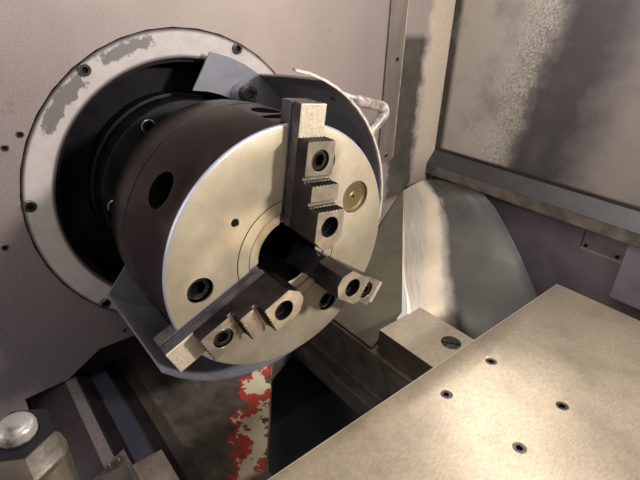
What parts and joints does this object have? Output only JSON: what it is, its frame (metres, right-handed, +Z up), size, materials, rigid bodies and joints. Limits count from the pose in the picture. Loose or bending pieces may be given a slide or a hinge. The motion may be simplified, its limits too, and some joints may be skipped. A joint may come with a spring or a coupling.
{
  "type": "cnc turning lathe",
  "caption": "Enclosed flat-bed CNC turning lathe with a self-centring jaw chuck, swinging chuck guard, cross slide, tool post, tailstock and sliding front door.",
  "frame": {"origin": "centre of the footprint on the floor, under the middle of the machine", "axes": "+Z up, +X along the spindle from the headstock to the tailstock, -Y towards the operator"},
  "size_m": [1.9853, 1.06, 1.58],
  "materials": {
    "cream_paint": "satin, worn",
    "grey_paint": "satin, dusty",
    "blue_grey_paint": "satin",
    "stainless_sheet": "brushed",
    "ground_steel": "ground",
    "black_steel": "blackened",
    "hard_steel": "hardened and oiled",
    "brass": "turned",
    "cast_iron": "machined and painted",
    "black_rubber": "matt",
    "clear_plastic": "clear",
    "red_plastic": "gloss",
    "green_plastic": "gloss",
    "black_plastic": "matt"
  },
  "bodies": {
    "machine": {"machine_base": "grey_paint", "chip_tray": "stainless_sheet", "bed": "cast_iron", "headstock": "cream_paint", "cover_ring": "cream_paint", "front_bearing": "ground_steel", "rear_bearing": "ground_steel", "bearing_cover": "black_steel", "headstock_wall": "grey_paint", "wall_cover_strip": "grey_paint", "rear_panel": "grey_paint", "rear_lower_panel": "stainless_sheet", "service_hatch": "stainless_sheet", "way_cover": "stainless_sheet", "chute": "stainless_sheet", "right_end_panel": "grey_paint", "front_panel": "cream_paint", "front_apron": "grey_paint", "headstock_housing": "cream_paint", "end_cover": "cream_paint", "main_motor": "blue_grey_paint", "drive_belt": "black_rubber", "bed_servo_motor": "black_plastic", "door_rail_upper": "stainless_sheet", "door_rail_lower": "stainless_sheet", "control_panel": "blue_grey_paint", "guard_pivot_bolt": "black_steel"},
    "spindle": {"spindle": "hard_steel", "chuck_adapter": "black_steel", "chuck_body": "hard_steel", "chuck_bush": "ground_steel", "chuck_disc": "brass", "spindle_pulley": "black_steel"},
    "jaw_a": {"base_jaw_a": "hard_steel", "top_jaw_a": "hard_steel"},
    "jaw_b": {"base_jaw_b": "hard_steel", "top_jaw_b": "hard_steel"},
    "jaw_c": {"base_jaw_c": "hard_steel", "top_jaw_c": "hard_steel"},
    "motor_pulley": {"motor_pulley": "black_steel"},
    "chuck_guard": {"chuck_guard": "blue_grey_paint", "guard_handle": "blue_grey_paint"},
    "bed_screw": {"bed_ball_screw": "ground_steel"},
    "saddle": {"saddle": "cast_iron", "front_way_wiper": "black_rubber"},
    "cross_slide": {"cross_slide": "cast_iron", "cross_slide_plate": "ground_steel"},
    "tool_post": {"tool_post": "black_steel", "turning_tool": "hard_steel", "clamp_nut": "hard_steel"},
    "tailstock": {"tailstock": "cream_paint"},
    "quill": {"quill": "ground_steel"},
    "live_centre": {"live_centre": "ground_steel"},
    "tailstock_handwheel": {"tailstock_handwheel": "black_steel"},
    "door": {"sliding_door": "cream_paint", "door_window": "clear_plastic", "door_handle": "black_plastic"},
    "emergency_stop": {"emergency_stop": "red_plastic"},
    "start_button": {"start_button": "green_plastic"},
    "override_knob": {"override_knob": "black_plastic"}
  },
  "joints": [
    {"name": "spindle_spin", "type": "hinge", "parent": "machine", "child": "spindle", "pos_m": [-0.33735, 0, 1.08], "axis": [1, 0, 0], "continuous": true},
    {"name": "motor_spin", "type": "hinge", "parent": "machine", "child": "motor_pulley", "pos_m": [-0.89735, 0.362, 0.844], "axis": [1, 0, 0], "continuous": true},
    {"name": "jaw_a_slide", "type": "slide", "parent": "spindle", "child": "jaw_a", "axis": [0, 0.1132, 0.9936], "range_m": [-0.012, 0.003]},
    {"name": "jaw_b_slide", "type": "slide", "parent": "spindle", "child": "jaw_b", "axis": [0, -0.9171, -0.3987], "range_m": [-0.012, 0.003]},
    {"name": "jaw_c_slide", "type": "slide", "parent": "spindle", "child": "jaw_c", "axis": [0, 0.8039, -0.5948], "range_m": [-0.012, 0.003]},
    {"name": "guard_swing", "type": "hinge", "parent": "machine", "child": "chuck_guard", "pos_m": [-0.31735, 0.07298, 1.19238], "axis": [1, 0, 0], "range_deg": [0, 25]},
    {"name": "saddle_slide", "type": "slide", "parent": "machine", "child": "saddle", "axis": [1, 0, 0], "range_m": [0, 0.29]},
    {"name": "bed_screw_spin", "type": "hinge", "parent": "machine", "child": "bed_screw", "pos_m": [-0.33735, -0.268, 0.715], "axis": [1, 0, 0], "range_deg": [0, 10441]},
    {"name": "cross_slide_slide", "type": "slide", "parent": "saddle", "child": "cross_slide", "axis": [0, 1, 0], "range_m": [-0.08, 0.145]},
    {"name": "tool_post_index", "type": "hinge", "parent": "cross_slide", "child": "tool_post", "pos_m": [0.06035, -0.238, 1.02], "axis": [0, 0, 1], "range_deg": [-90, 90]},
    {"name": "tailstock_slide", "type": "slide", "parent": "machine", "child": "tailstock", "axis": [1, 0, 0], "range_m": [-0.2, 0]},
    {"name": "quill_slide", "type": "slide", "parent": "tailstock", "child": "quill", "axis": [1, 0, 0], "range_m": [-0.1, 0]},
    {"name": "live_centre_spin", "type": "hinge", "parent": "quill", "child": "live_centre", "pos_m": [0.65265, 0, 1.08], "axis": [1, 0, 0], "continuous": true},
    {"name": "handwheel_turn", "type": "hinge", "parent": "tailstock", "child": "tailstock_handwheel", "pos_m": [0.89265, 0, 1.08], "axis": [1, 0, 0], "range_deg": [-7201, 0]},
    {"name": "door_slide", "type": "slide", "parent": "machine", "child": "door", "axis": [1, 0, 0], "range_m": [-0.614, 0]},
    {"name": "emergency_stop_press", "type": "slide", "parent": "machine", "child": "emergency_stop", "axis": [0, 1, 0], "range_m": [0, 0.005], "stiffness_N_per_m": 3000},
    {"name": "start_press", "type": "slide", "parent": "machine", "child": "start_button", "axis": [0, 1, 0], "range_m": [0, 0.004], "stiffness_N_per_m": 1500},
    {"name": "override_turn", "type": "hinge", "parent": "machine", "child": "override_knob", "pos_m": [-0.51735, -0.51, 1.33], "axis": [0, -1, 0], "range_deg": [-135, 135]}
  ],
  "couplings": [
    {"joint": "motor_spin", "follows": "spindle_spin", "ratio": 1.6935},
    {"joint": "jaw_b_slide", "follows": "jaw_a_slide", "ratio": 1},
    {"joint": "jaw_c_slide", "follows": "jaw_a_slide", "ratio": 1},
    {"joint": "bed_screw_spin", "follows": "saddle_slide", "rad_per_m": 628.32},
    {"joint": "handwheel_turn", "follows": "quill_slide", "rad_per_m": 1256.6}
  ]
}
